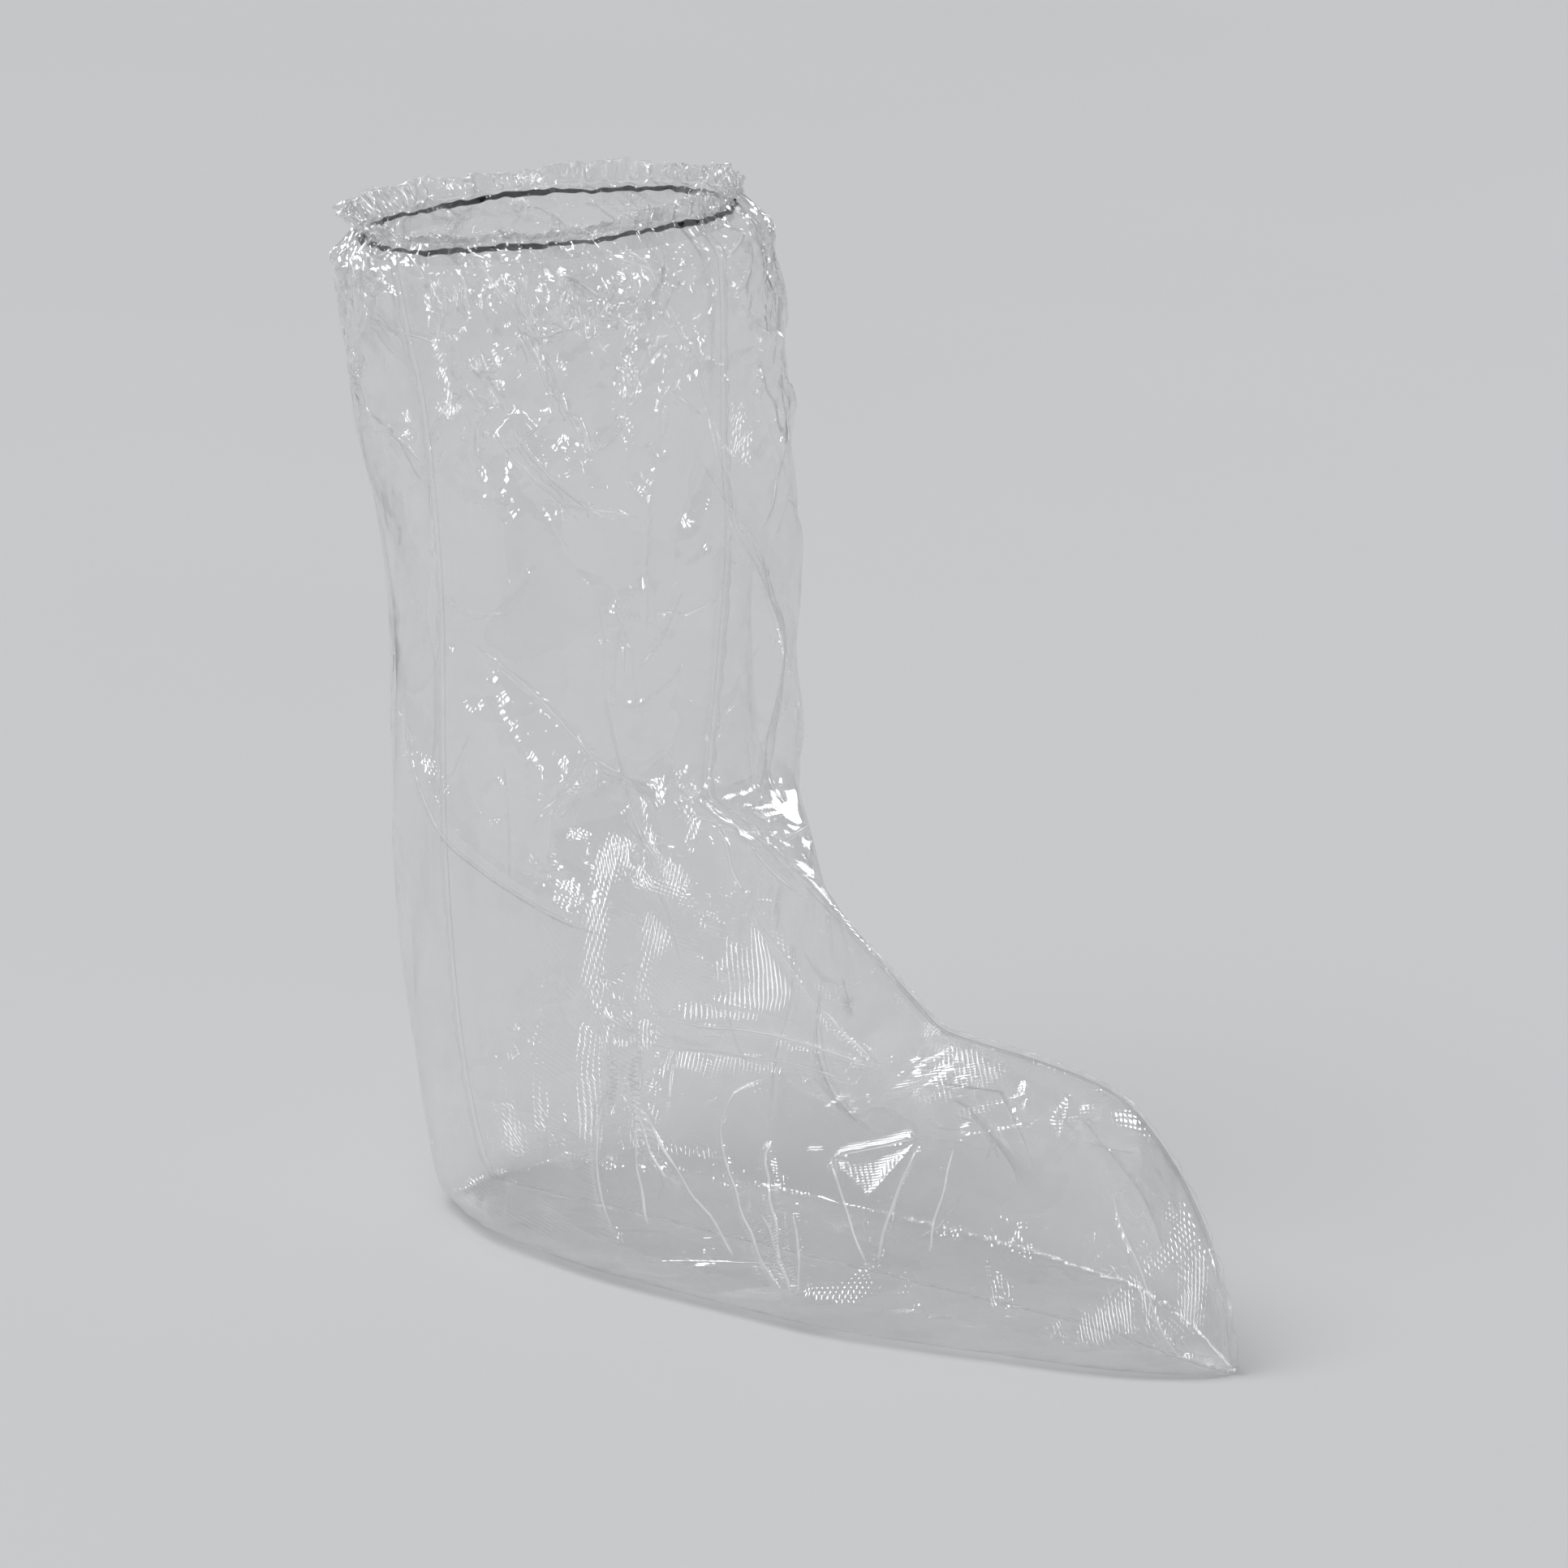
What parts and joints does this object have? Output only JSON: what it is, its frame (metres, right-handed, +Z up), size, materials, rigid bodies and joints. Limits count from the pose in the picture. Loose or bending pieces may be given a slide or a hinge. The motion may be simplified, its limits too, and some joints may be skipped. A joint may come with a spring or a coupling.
{
  "type": "disposable overboot",
  "caption": "Calf-length clear film boot cover in its worn form, with welded edges, a pointed toe and an open hem gathered on a thin elastic with a ruffle",
  "frame": {"origin": "the middle of the elastic ring in the hem, where the leg goes in and holds the overboot up", "axes": "+X forwards to the toe, +Y to the wearer's left, +Z up the leg"},
  "size_m": [0.401, 0.1591, 0.3784],
  "materials": {
    "clear_film": "clear, glossy, finely embossed",
    "welded_film": "milky, pressed flat",
    "black_elastic": "matte, covered elastic thread"
  },
  "bodies": {
    "root": {"right_panel": "clear_film", "left_panel": "clear_film", "front_weld": "welded_film", "back_weld": "welded_film", "sole_weld": "welded_film", "hem_elastic": "black_elastic", "hem_ruffle": "clear_film"}
  },
  "joints": []
}
